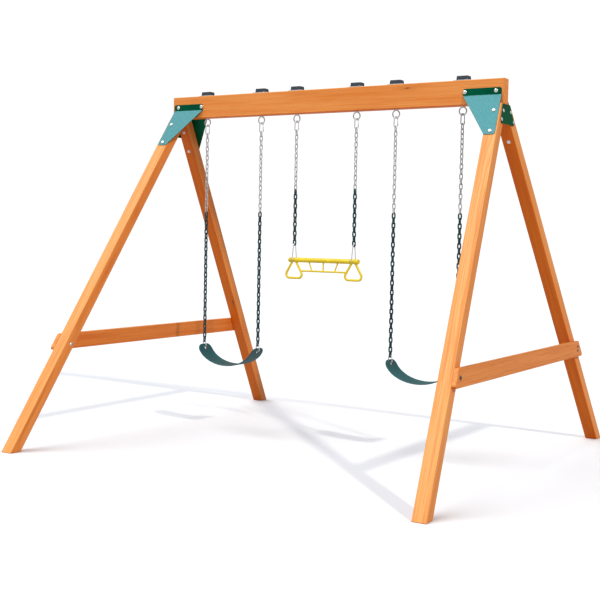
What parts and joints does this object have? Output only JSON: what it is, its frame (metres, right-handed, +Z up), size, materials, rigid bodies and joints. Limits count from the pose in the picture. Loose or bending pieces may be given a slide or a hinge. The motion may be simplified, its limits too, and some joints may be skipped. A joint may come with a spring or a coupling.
{
  "type": "swing set",
  "caption": "Free-standing timber swing set: a beam on two splayed A-frames carrying two belt swings and a trapeze bar with hand rings on coated chains.",
  "frame": {"origin": "on the ground, below the middle of the beam", "axes": "+X along the beam to the right, +Y towards the rear legs, +Z up; the swings move in YZ planes"},
  "size_m": [2.701, 2.6658, 2.1971],
  "materials": {
    "stained_timber": "cedar-coloured stain, satin",
    "green_powder_coat": "dark green powder coat, semi-gloss",
    "galvanised_steel": "bright galvanised",
    "green_chain_coating": "dip-coated, semi-gloss",
    "green_belt": "moulded, satin",
    "yellow_plastic": "moulded, semi-gloss",
    "dark_cap_plastic": "moulded, fine matte"
  },
  "bodies": {
    "frame": {"top_beam": "stained_timber", "leg_front_left": "stained_timber", "leg_rear_left": "stained_timber", "leg_front_right": "stained_timber", "leg_rear_right": "stained_timber", "side_brace_left": "stained_timber", "side_brace_right": "stained_timber", "bracket_front_left": "green_powder_coat", "bracket_rear_left": "green_powder_coat", "bracket_front_right": "green_powder_coat", "bracket_rear_right": "green_powder_coat", "gusset_plate_left": "green_powder_coat", "gusset_plate_right": "green_powder_coat", "left_swing_eye_left": "galvanised_steel", "left_swing_eye_right": "galvanised_steel", "trapeze_eye_left": "galvanised_steel", "trapeze_eye_right": "galvanised_steel", "right_swing_eye_left": "galvanised_steel", "right_swing_eye_right": "galvanised_steel", "left_swing_cap_left": "dark_cap_plastic", "left_swing_cap_right": "dark_cap_plastic", "trapeze_cap_left": "dark_cap_plastic", "trapeze_cap_right": "dark_cap_plastic", "right_swing_cap_left": "dark_cap_plastic", "right_swing_cap_right": "dark_cap_plastic", "beam_bolt_left_inner": "galvanised_steel", "beam_bolt_left_outer": "galvanised_steel", "beam_bolt_right_inner": "galvanised_steel", "beam_bolt_right_outer": "galvanised_steel", "leg_bolt_front_left": "galvanised_steel", "leg_bolt_rear_left": "galvanised_steel", "leg_bolt_front_right": "galvanised_steel", "leg_bolt_rear_right": "galvanised_steel", "brace_bolt_left": "galvanised_steel", "brace_bolt_right": "galvanised_steel"},
    "left_swing": {"left_swing_top_clip_left": "galvanised_steel", "left_swing_top_clip_right": "galvanised_steel", "left_swing_chain_left": "green_chain_coating", "left_swing_chain_right": "green_chain_coating"},
    "trapeze_hanger": {"trapeze_top_clip_left": "galvanised_steel", "trapeze_top_clip_right": "galvanised_steel", "trapeze_chain_left": "green_chain_coating", "trapeze_chain_right": "green_chain_coating"},
    "right_swing": {"right_swing_top_clip_left": "galvanised_steel", "right_swing_top_clip_right": "galvanised_steel", "right_swing_chain_left": "green_chain_coating", "right_swing_chain_right": "green_chain_coating"},
    "left_seat": {"left_swing_belt_seat": "green_belt", "left_swing_seat_clip_left": "galvanised_steel", "left_swing_seat_clip_right": "galvanised_steel"},
    "right_seat": {"right_swing_belt_seat": "green_belt", "right_swing_seat_clip_left": "galvanised_steel", "right_swing_seat_clip_right": "galvanised_steel"},
    "trapeze": {"trapeze_bar": "yellow_plastic", "trapeze_ring_frame": "yellow_plastic", "trapeze_loop_left": "galvanised_steel", "trapeze_loop_right": "galvanised_steel"}
  },
  "joints": [
    {"name": "left_swing_swing", "type": "hinge", "parent": "frame", "child": "left_swing", "pos_m": [-0.682, 0, 1.979], "axis": [1, 0, 0], "range_deg": [-60, 60]},
    {"name": "trapeze_hanger_swing", "type": "hinge", "parent": "frame", "child": "trapeze_hanger", "pos_m": [0, 0, 1.979], "axis": [1, 0, 0], "range_deg": [-60, 60]},
    {"name": "right_swing_swing", "type": "hinge", "parent": "frame", "child": "right_swing", "pos_m": [0.682, 0, 1.979], "axis": [1, 0, 0], "range_deg": [-60, 60]},
    {"name": "left_seat_tilt", "type": "hinge", "parent": "left_swing", "child": "left_seat", "pos_m": [-0.682, 0, 0.58634], "axis": [1, 0, 0], "range_deg": [-45, 45]},
    {"name": "right_seat_tilt", "type": "hinge", "parent": "right_swing", "child": "right_seat", "pos_m": [0.682, 0, 0.58634], "axis": [1, 0, 0], "range_deg": [-45, 45]},
    {"name": "trapeze_tilt", "type": "hinge", "parent": "trapeze_hanger", "child": "trapeze", "pos_m": [0, 0, 1.2248], "axis": [1, 0, 0], "range_deg": [-45, 45]}
  ]
}
